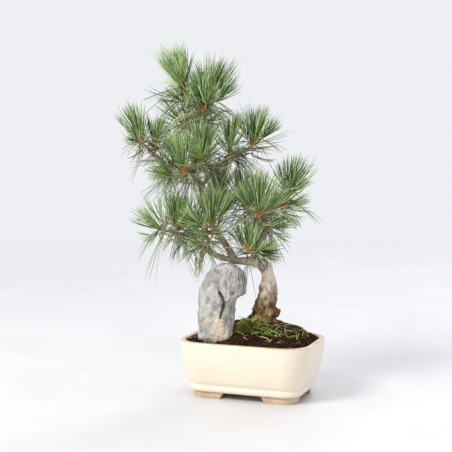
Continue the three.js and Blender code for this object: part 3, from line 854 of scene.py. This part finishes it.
def tube_quads(tubes, levels, sides):
    """The sides of many open tubes whose vertices follow each other, ring by ring."""
    block = np.arange(tubes)[:, None, None] * levels * sides
    ring = np.arange(levels - 1)[None, :, None] * sides
    k = np.arange(sides)[None, None, :]
    a = block + ring + k
    b = block + ring + (k + 1) % sides
    return np.stack([a, b, b + sides, a + sides], 3).reshape(-1, 4)


def spokes(side, other, count):
    """Directions spread evenly round a circle that two arrays of directions span."""
    angles = [2 * math.pi * k / count for k in range(count)]
    return [math.cos(angle) * side + math.sin(angle) * other for angle in angles]


def needle_arrays(starts, headings, lengths, bends, widths, rng):
    """Tapering three-sided needles, each curving from its heading towards its bend."""
    count = len(starts)
    t = np.linspace(0, 1, NEEDLE_RINGS)[None, :, None]
    lengths = lengths[:, None, None]
    path = starts[:, None, :] + lengths * (headings[:, None, :] * t + bends[:, None, :] * t ** 2)
    along = unit(headings[:, None, :] + 2 * bends[:, None, :] * t)
    side = unit(np.cross(along, rng.normal(size=(count, 1, 3))))
    other = np.cross(along, side)
    radius = widths[:, None, None] * NEEDLE_SHAPE[None, :, None]
    corners = [path + radius * spoke for spoke in spokes(side, other, NEEDLE_SIDES)]
    places = np.stack(corners, 2).reshape(-1, 3)
    first = np.arange(count)[:, None] * NEEDLE_CORNERS + np.arange(NEEDLE_SIDES)
    last = first + NEEDLE_CORNERS - NEEDLE_SIDES
    quads = tube_quads(count, NEEDLE_RINGS, NEEDLE_SIDES)
    return places, quads, np.concatenate([first[:, ::-1], last])


def tube_arrays(starts, ends, radii, profile, sides):
    """Straight tapering tubes; `profile` gives (share of the way, share of the radius)."""
    axes = unit(ends - starts)
    side = unit(np.cross(axes, (0.31, 0.22, 0.93)))
    other = np.cross(axes, side)
    rings = []
    for rise, width in profile:
        centre = starts + (ends - starts) * rise
        rings += [centre + spoke * (radii * width)[:, None] for spoke in spokes(side, other, sides)]
    return np.stack(rings, 1).reshape(-1, 3), tube_quads(len(starts), len(profile), sides)


def sheaths(roots, headings, age, rust, rng):
    """A papery sheath round the foot of each fascicle, long and rusty on new growth."""
    length = (2.2 + 2.6 * rust * (1 - age)) * rng.uniform(0.7, 1.3, len(roots)) * MM
    radii = (0.75 + 0.45 * rust * (1 - age)) * MM
    profile = ((-0.2, 0.5), (0.3, 1.0), (0.75, 0.85), (1.05, 0.2))
    return tube_arrays(roots, roots + headings * length[:, None], radii, profile, 5)


def buds(foot, axis, rust, rng):
    """A star of scaly resting buds at the heart of the shoot."""
    count = int(round(15 * rust))
    angles = np.radians(rng.uniform(25, 95, count))
    headings = unit(cone_directions(axis, angles, spiral(count, rng)))
    starts = foot + axis * rng.uniform(0, 7 * MM, count)[:, None]
    ends = starts + headings * (rng.uniform(5, 9.5, count) * MM)[:, None]
    radii = rng.uniform(1.0, 1.5, count) * MM
    profile = ((0, 0.5), (0.25, 0.9), (0.5, 1.0), (0.75, 0.7), (1, 0.1))
    return tube_arrays(starts, ends, radii, profile, 6)


def fast_mesh(name, places, quads, triangles):
    """A mesh from arrays of quads and triangles, quick for many faces."""
    mesh = bpy.data.meshes.new(name)
    mesh.vertices.add(len(places))
    mesh.vertices.foreach_set("co", places.astype(np.float32).ravel())
    corners = np.concatenate([quads.ravel(), triangles.ravel()]).astype(np.int32)
    mesh.loops.add(len(corners))
    mesh.loops.foreach_set("vertex_index", corners)
    sizes = np.concatenate([np.full(len(quads), 4), np.full(len(triangles), 3)])
    starts = np.concatenate([[0], np.cumsum(sizes)[:-1]]).astype(np.int32)
    mesh.polygons.add(len(sizes))
    mesh.polygons.foreach_set("loop_start", starts)
    shade_smooth(mesh)
    mesh.update(calc_edges=True)
    mesh.validate()
    return mesh


def needle_material():
    """Green needles with a pale inner side, a paler outer half, and dry ends."""
    look = Look("pine_needle", 0.45, 0.08)
    tint, along, side = look.stored("needle")
    new = look.ramp(
        tint,
        (0.0, (0.012, 0.042, 0.001)), (0.35, (0.090, 0.200, 0.005)),
        (0.65, (0.240, 0.430, 0.030)), (1.0, (0.520, 0.700, 0.200)))
    old = look.ramp(
        tint,
        (0.0, (0.018, 0.036, 0.004)), (0.35, (0.095, 0.140, 0.020)),
        (0.65, (0.280, 0.345, 0.090)), (1.0, (0.600, 0.640, 0.300)))
    green = look.mix(look.stored("growth")[0], new, old)
    pale = look.ramp(tint, (0.0, (0.13, 0.21, 0.10)), (1.0, (0.84, 0.93, 0.76)))
    paler = look.maths("MULTIPLY_ADD", along, 0.55, 0.3)
    tone = look.mix(look.maths("MULTIPLY", side, paler), green, pale)
    ends = look.ramp(along, (0.0, 0.75), (0.09, 0.0), (0.94, 0.0), (1.0, 0.6))
    look.paint(look.mix(ends, tone, (0.34, 0.27, 0.12)))
    return look.material


def sheath_material():
    """Papery scales, rust-red at the heart of a strong shoot and dull straw elsewhere."""
    look = Look("bud_scale", 0.6)
    grain = look.noise(900, 3)
    warm = look.ramp(grain, (0.3, (0.40, 0.110, 0.024)), (0.7, (0.70, 0.27, 0.08)))
    dull = look.ramp(grain, (0.3, (0.26, 0.17, 0.08)), (0.7, (0.48, 0.36, 0.20)))
    look.paint(look.mix(look.stored("growth")[1], dull, warm))
    look.bump(grain, 0.4, 0.0004)
    return look.material


def brush_patterns(mesh, name, warmth, ages, count, rng):
    """Stores each needle's tint, place along it, side, age and, on the other parts, rust."""
    lighter = 0.35 * min(max(0.9 - SHOOTS[name][1], -0.1), 0.25)
    fascicles = count // NEEDLES_A_FASCICLE
    tint = np.repeat(rng.normal(0.49 + lighter, 0.19, fascicles), NEEDLES_A_FASCICLE)
    tint = (tint + rng.normal(0, 0.23, count)).clip(0, 1)
    corners = count * NEEDLE_CORNERS
    needle = np.zeros((len(mesh.vertices), 3))
    needle[:corners, 0] = np.repeat(tint, NEEDLE_CORNERS)
    needle[:corners, 1] = np.tile(np.repeat(np.linspace(0, 1, NEEDLE_RINGS), NEEDLE_SIDES), count)
    needle[:corners, 2] = np.tile([1.0, 0.3, 0.0], count * NEEDLE_RINGS)
    store(mesh, "needle", needle)
    growth = np.zeros((len(mesh.vertices), 3))
    growth[:corners, 0] = np.repeat(ages, NEEDLE_CORNERS)
    growth[:, 1] = np.concatenate(warmth)
    store(mesh, "growth", growth)


def make_brush(name, materials, rng):
    (roots, headings, bends, lengths, age, spread, main), stems, foot, axis = brush_fascicles(name, rng)
    rust = SHOOTS[name][2]
    wraps, wrap_quads = sheaths(roots, headings, age, rust * main, rng)
    count = len(roots) * NEEDLES_A_FASCICLE
    starts, directions, curls, reach, ages, fans = (
        np.repeat(values, NEEDLES_A_FASCICLE, 0) for values in (roots, headings, bends, lengths, age, spread))
    fan = rng.normal(0, 1, (count, 3)) * fans[:, None]
    directions = unit(directions + fan)
    curls = curls + rng.normal(0, 0.05, (count, 3)) + fan * 0.35
    reach = keep_inside(starts, directions, curls, reach * rng.uniform(0.84, 1.04, count))
    widths = rng.uniform(0.85, 1.15, count) * NEEDLE_WIDTH * (1 - 0.12 * ages)
    places, quads, tips = needle_arrays(starts, directions, reach, curls, widths, rng)
    stem_starts, stem_ends, radii = (np.array(values) for values in zip(*stems))
    extras = [
        (wraps, wrap_quads, np.repeat(rust * main, len(wraps) // len(roots))),
        (*buds(foot, axis, rust, rng), 1.0),
        (*tube_arrays(stem_starts, stem_ends, radii, ((0, 1), (0.5, 0.85), (1, 0.5)), 6), 0.1),
    ]
    all_places, all_quads, warmth = [places], [quads], [np.zeros(len(places))]
    for extra_places, extra_quads, extra_rust in extras:
        if len(extra_places):
            all_quads.append(extra_quads + sum(len(p) for p in all_places))
            all_places.append(extra_places)
            warmth.append(np.full(len(extra_places), extra_rust))
    mesh = fast_mesh("needles_" + name, np.concatenate(all_places), np.concatenate(all_quads), tips)
    brush_patterns(mesh, name, warmth, ages, count, rng)
    for material in materials:
        mesh.materials.append(material)
    slots = np.zeros(len(mesh.polygons), np.int32)
    slots[len(quads):sum(len(q) for q in all_quads)] = 1
    mesh.polygons.foreach_set("material_index", slots)
    place_piece(new_object("brush_" + name, mesh), "needles", "needles_" + name)


def make_needles():
    materials = needle_material(), sheath_material()
    rng = np.random.default_rng(SEEDS["needles"])
    for name in SHOOTS:
        make_brush(name, materials, rng)


# ---- Ground ----

def surface_of(*nodes):
    return [tree_of(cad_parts[node].data) for node in nodes]


def drop(trees, x, y):
    """The highest place and normal of the surfaces under a point."""
    best = None
    for tree in trees:
        hit, normal, _, _ = tree.ray_cast(Vector((x, y, RAY_HEIGHT)), Vector((0, 0, -1)))
        if hit is not None and (best is None or hit.z > best[0].z):
            best = (hit, normal)
    return best


def make_soil():
    soil = remeshed("soil", "soil_bed", SOIL_VOXEL)
    places, normals = arrays(soil.data)
    up = np.clip(normals[:, 2] - 0.5, 0, 0.5) * 2
    up *= places[:, 2] > SOIL_RELIEF_FROM
    places[:, 2] += up * (1.3 * field(places, 7, seed=1) + 0.7 * field(places, 2.5, seed=9)) * MM
    stops = [(0.3, (0.008, 0.004, 0.002)), (0.5, (0.026, 0.012, 0.006)), (0.72, (0.075, 0.036, 0.018))]
    earth = grained("potting_soil", (260, 6, 0.7), stops, 0.97, 0.1, (700, 6, 0.75), 0.8, 0.0012)
    dressed(soil, places, earth, "soil", "soil")


def lumps(name, rng, spots, sizes, tints, attribute):
    """Many small uneven lumps, one at each spot, as one mesh."""
    body = bmesh.new()
    bmesh.ops.create_icosphere(body, subdivisions=1, radius=1)
    base = np.array([v.co for v in body.verts])
    faces = np.array([[v.index for v in f.verts] for f in body.faces])
    body.free()
    count = len(spots)
    shape = base[None] * (1 + rng.normal(0, 0.16, (count, len(base), 1)))
    shape *= rng.uniform(0.65, 1.25, (count, 1, 3))
    turn = rng.uniform(0, 6.28, count)
    c, s = np.cos(turn), np.sin(turn)
    x = shape[..., 0] * c[:, None] - shape[..., 1] * s[:, None]
    y = shape[..., 0] * s[:, None] + shape[..., 1] * c[:, None]
    shape = np.stack([x, y, shape[..., 2]], 2) * sizes[:, None, None]
    places = (shape + spots[:, None, :]).reshape(-1, 3)
    triangles = (faces[None] + (np.arange(count) * len(base))[:, None, None]).reshape(-1, 3)
    mesh = fast_mesh(name, places, np.empty((0, 4), int), triangles)
    store(mesh, attribute, np.repeat(tints, len(base))[:, None])
    return mesh


def scatter(trees, rng, count, margin=WALL + 2):
    """Spots on the ground inside the pot's rim."""
    spots = []
    half_x = POT_SIZE.x / 2 - margin
    half_y = POT_SIZE.y / 2 - margin
    corner = POT_CORNER - margin
    while len(spots) < count:
        x, y = rng.uniform(-half_x, half_x), rng.uniform(-half_y, half_y)
        over = max(abs(x) - half_x + corner, 0), max(abs(y) - half_y + corner, 0)
        if math.hypot(*over) > corner:
            continue
        found = drop(trees, POT_MIDDLE.x + x * MM, POT_MIDDLE.y + y * MM)
        if found is not None:
            spots.append((found[0], found[1]))
    return spots


def make_crumbs():
    """Loose grains of soil on the bed."""
    rng = np.random.default_rng(SEEDS["crumbs"])
    places = np.array([hit for hit, _ in scatter(surface_of("soil"), rng, CRUMBS, WALL + 2)])
    sizes = rng.gamma(3.0, 0.42, len(places)).clip(0.5, 3.0) * MM
    mesh = lumps("soil_crumbs", rng, places, sizes, rng.beta(1.6, 2.6, len(places)), "crumb")
    stops = [
        (0.0, (0.010, 0.005, 0.003)), (0.6, (0.038, 0.018, 0.009)),
        (0.88, (0.11, 0.058, 0.03)), (1.0, (0.34, 0.27, 0.18))]
    crumb = grained("soil_crumb", "crumb", stops, 0.95, 0.1, (900, 4), 0.7, 0.0006)
    place_piece(new_object("soil_crumbs", mesh, crumb), "soil")


def blade_material(name, attribute, stops, roughness=0.7):
    return grained(name, attribute, stops, roughness, 0.2, (1500, 2), 0.2, 0.0003)


def strands(name, blades, tints, attribute, material, rng, slot, *nodes):
    """A piece of many blades shaped like needles; blades is (starts, headings, lengths, bends, widths)."""
    mesh = fast_mesh(name, *needle_arrays(*blades, rng))
    store(mesh, attribute, np.repeat(tints, NEEDLE_CORNERS)[:, None])
    place_piece(new_object(name, mesh, material), slot, *nodes)


def moss_material():
    stops = [
        (0.34, (0.016, 0.010, 0.004)), (0.48, (0.055, 0.040, 0.010)),
        (0.62, (0.110, 0.110, 0.018)), (0.8, (0.22, 0.17, 0.05))]
    return grained("moss_body", (120, 8, 0.72), stops, 0.97, 0.1, (700, 5, 0.75), 0.9, 0.0012)


def moss_body(node, material):
    """The lumpy cushion that the strands stand on, drawn down round its edge."""
    body = remeshed(node, node + "_body", MOSS_VOXEL)
    places, normals = arrays(body.data)
    push = 2.6 * field(places, 11, seed=14) + 1.0 * field(places, 4, seed=15) - 1.2
    places += normals * (push * MM)[:, None] * limited(normals[:, 2:] + 0.4)
    low, high = places.min(0), places.max(0)
    outward = np.linalg.norm((places - (low + high) / 2)[:, :2] / (high - low)[:2], axis=1) * 2
    places[:, 2] -= MOSS_EDGE_DROP * outward ** 2
    dressed(body, places, material, "moss", node)
    return tree_of(body.data)


def strand_set(name, roots, rng, length, width, tints, material):
    """Short strands of moss that stand on roots given as (place, normal)."""
    count = len(roots)
    normals = np.array([normal for _, normal in roots])
    starts = np.array([place for place, _ in roots]) - normals * 0.5 * MM
    headings = unit(normals + rng.normal(0, 0.4, (count, 3)) + (0, 0, 0.4))
    lengths = rng.uniform(*length, count) * MM
    bends = rng.normal(0, 0.18, (count, 3))
    widths = rng.uniform(*width, count) * MM
    strands(name, (starts, headings, lengths, bends, widths), tints, "moss", material, rng, "moss")


def trunk_moss(strand, rng):
    """Moss that climbs the foot of the trunk, thinning out upwards."""
    places, normals = arrays(bpy.data.objects["wood_bark"].data)
    across, _, height = planting(places).T
    chance = limited((108 - height) / 22) * np.clip((24 - across) / 22, 0.1, 1) * (normals[:, 2] > -0.3)
    chance *= limited(0.35 + 1.4 * field(places, 8, seed=19))
    picked = np.flatnonzero(rng.uniform(0, 1, len(places)) < 0.4 * chance)
    roots = list(zip(places[picked], normals[picked]))
    tints = (0.4 + 0.4 * field(places[picked], 9, seed=20) + rng.normal(0, 0.15, len(picked))).clip(0, 1)
    strand_set("trunk_moss", roots, rng, (1.0, 2.8), (0.22, 0.38), tints, strand)


def cushion(node, count, green, body, strand, rng):
    """One cushion of moss: its body, and strands that stand on it."""
    trees = [moss_body(node, body)]
    low, high = np.array(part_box(node))
    roots = []
    while len(roots) < count:
        hit = drop(trees, rng.uniform(low[0], high[0]), rng.uniform(low[1], high[1]))
        if hit is not None:
            roots.append(hit)
    spots = np.array([place for place, _ in roots])
    tints = (green + 0.5 * field(spots, 9, seed=16) + rng.normal(0, 0.16, count)).clip(0, 1)
    strand_set(node + "_strands", roots, rng, (1.2, 3.4), (0.25, 0.42), tints, strand)


def make_moss():
    """Cushions, and a thin growth on the soil round them that thins out away from the trunk."""
    rng = np.random.default_rng(SEEDS["moss"])
    strand = blade_material("moss_strand", "moss", [
        (0.0, (0.022, 0.014, 0.005)), (0.35, (0.070, 0.050, 0.012)), (0.55, (0.095, 0.105, 0.015)),
        (0.8, (0.220, 0.250, 0.030)), (1.0, (0.480, 0.400, 0.140))])
    body = moss_material()
    for node, (count, green) in CUSHIONS.items():
        cushion(node, count, green, body, strand, rng)
    found = scatter(surface_of("soil"), rng, SOIL_MOSS_TRIES, WALL + 4)
    spots = np.array([place for place, _ in found])
    across, deep, _ = planting(spots).T
    nearness = np.exp(-((across - 26) / 44) ** 2 - ((deep + 16) / 24) ** 2)
    keep = nearness + 0.4 * field(spots, 10, seed=17) + rng.normal(0, 0.12, len(spots)) > 0.42
    roots = [found[i] for i in np.flatnonzero(keep)]
    tints = (0.36 + 0.45 * field(spots[keep], 9, seed=18) + rng.normal(0, 0.15, len(roots))).clip(0, 1)
    strand_set("soil_moss", roots, rng, (1.2, 3.2), (0.25, 0.42), tints, strand)
    trunk_moss(strand, rng)


def make_litter():
    """Fallen needles, most of them dry, lying about the soil."""
    rng = np.random.default_rng(SEEDS["litter"])
    ground = surface_of("soil", "moss_trunk_foot", "moss_right")
    spots = scatter(ground, rng, FALLEN_NEEDLES, WALL + 9)
    starts = np.array([hit for hit, _ in spots]) + (0, 0, LITTER_LIFT)
    inward = unit(np.array(POT_MIDDLE) - starts)
    turn = rng.uniform(0, 2 * math.pi, len(starts))
    headings = np.stack([np.cos(turn), np.sin(turn), np.zeros(len(turn))], 1)
    headings[:, :2] += 1.1 * inward[:, :2]
    lengths = rng.uniform(6, 19, len(starts)) * MM
    headings = unit(headings) * lengths[:, None]
    for start, heading in zip(starts, headings):
        landing = drop(ground, start[0] + heading[0], start[1] + heading[1])
        heading[2] = landing[0].z + LITTER_LIFT - start[2] if landing else 0
    bends = rng.normal(0, 0.1, (len(starts), 3)) * (1, 1, 0.2)
    widths = np.full(len(starts), 0.4 * MM)
    material = blade_material("dry_needle", "litter", [
        (0.0, (0.13, 0.07, 0.03)), (0.5, (0.36, 0.24, 0.12)), (1.0, (0.66, 0.55, 0.34))])
    tints = rng.uniform(0, 1, len(starts))
    blades = starts, unit(headings), lengths, bends, widths
    strands("fallen_needles", blades, tints, "litter", material, rng, "soil")


def make_grass():
    """Low bright blades in front of the trunk, arching sideways."""
    rng = np.random.default_rng(SEEDS["grass"])
    low, high = np.array(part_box("grass"))
    starts = (low + high) / 2 + rng.normal(0, 0.45, (GRASS_BLADES, 3)) * (high - low)
    ground = surface_of("soil", "moss_trunk_foot")
    for start in starts:
        start[2] = drop(ground, start[0], start[1])[0].z
    turn = rng.uniform(0, 2 * math.pi, GRASS_BLADES)
    lean = rng.uniform(0.4, 1.5, GRASS_BLADES)
    rise = np.ones(GRASS_BLADES)
    headings = unit(np.stack([np.cos(turn) * lean, np.sin(turn) * lean * 0.6, rise], 1))
    bends = np.stack([np.cos(turn) * 0.3, np.sin(turn) * 0.2, rise * -0.35], 1)
    lengths = rng.uniform(7, 17, GRASS_BLADES) * MM
    widths = rng.uniform(0.4, 0.7, GRASS_BLADES) * MM
    tints = rng.uniform(0, 1, GRASS_BLADES)
    material = blade_material("grass_blade", "grass", [
        (0.0, (0.07, 0.15, 0.016)), (0.6, (0.21, 0.35, 0.05)), (1.0, (0.66, 0.60, 0.30))], 0.5)
    blades = starts, headings, lengths, bends, widths
    strands("grass_blades", blades, tints, "grass", material, rng, "moss", "grass")


# ---- Drainage ----

def dress_drainage():
    """Materials of the mesh screens and the wire clips, whose CAD shapes stay."""
    dark = [(0.3, (0.02, 0.02, 0.02)), (0.7, (0.05, 0.05, 0.045))]
    metal = [(0.3, (0.45, 0.44, 0.42)), (0.7, (0.62, 0.61, 0.58))]
    screen = grained("mesh_plastic", (300, 4), dark, 0.6, 0.5, (900, 3), 0.2, 0.0003)
    wire = grained("aluminium_wire", (500, 4), metal, 0.4, 0.5, (900, 3), 0.1, 0.0002)
    wire.node_tree.nodes["Principled BSDF"].inputs["Metallic"].default_value = 1
    for side in ("left", "right"):
        for node, material in (("drain_screen_" + side, screen), ("screen_clip_" + side, wire)):
            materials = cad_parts[node].data.materials
            materials.clear()
            materials.append(material)


make_camera()
make_studio()
make_floor()
make_pot()
make_stone()
make_wood()
make_soil()
make_crumbs()
make_moss()
make_litter()
make_grass()
make_needles()
dress_drainage()
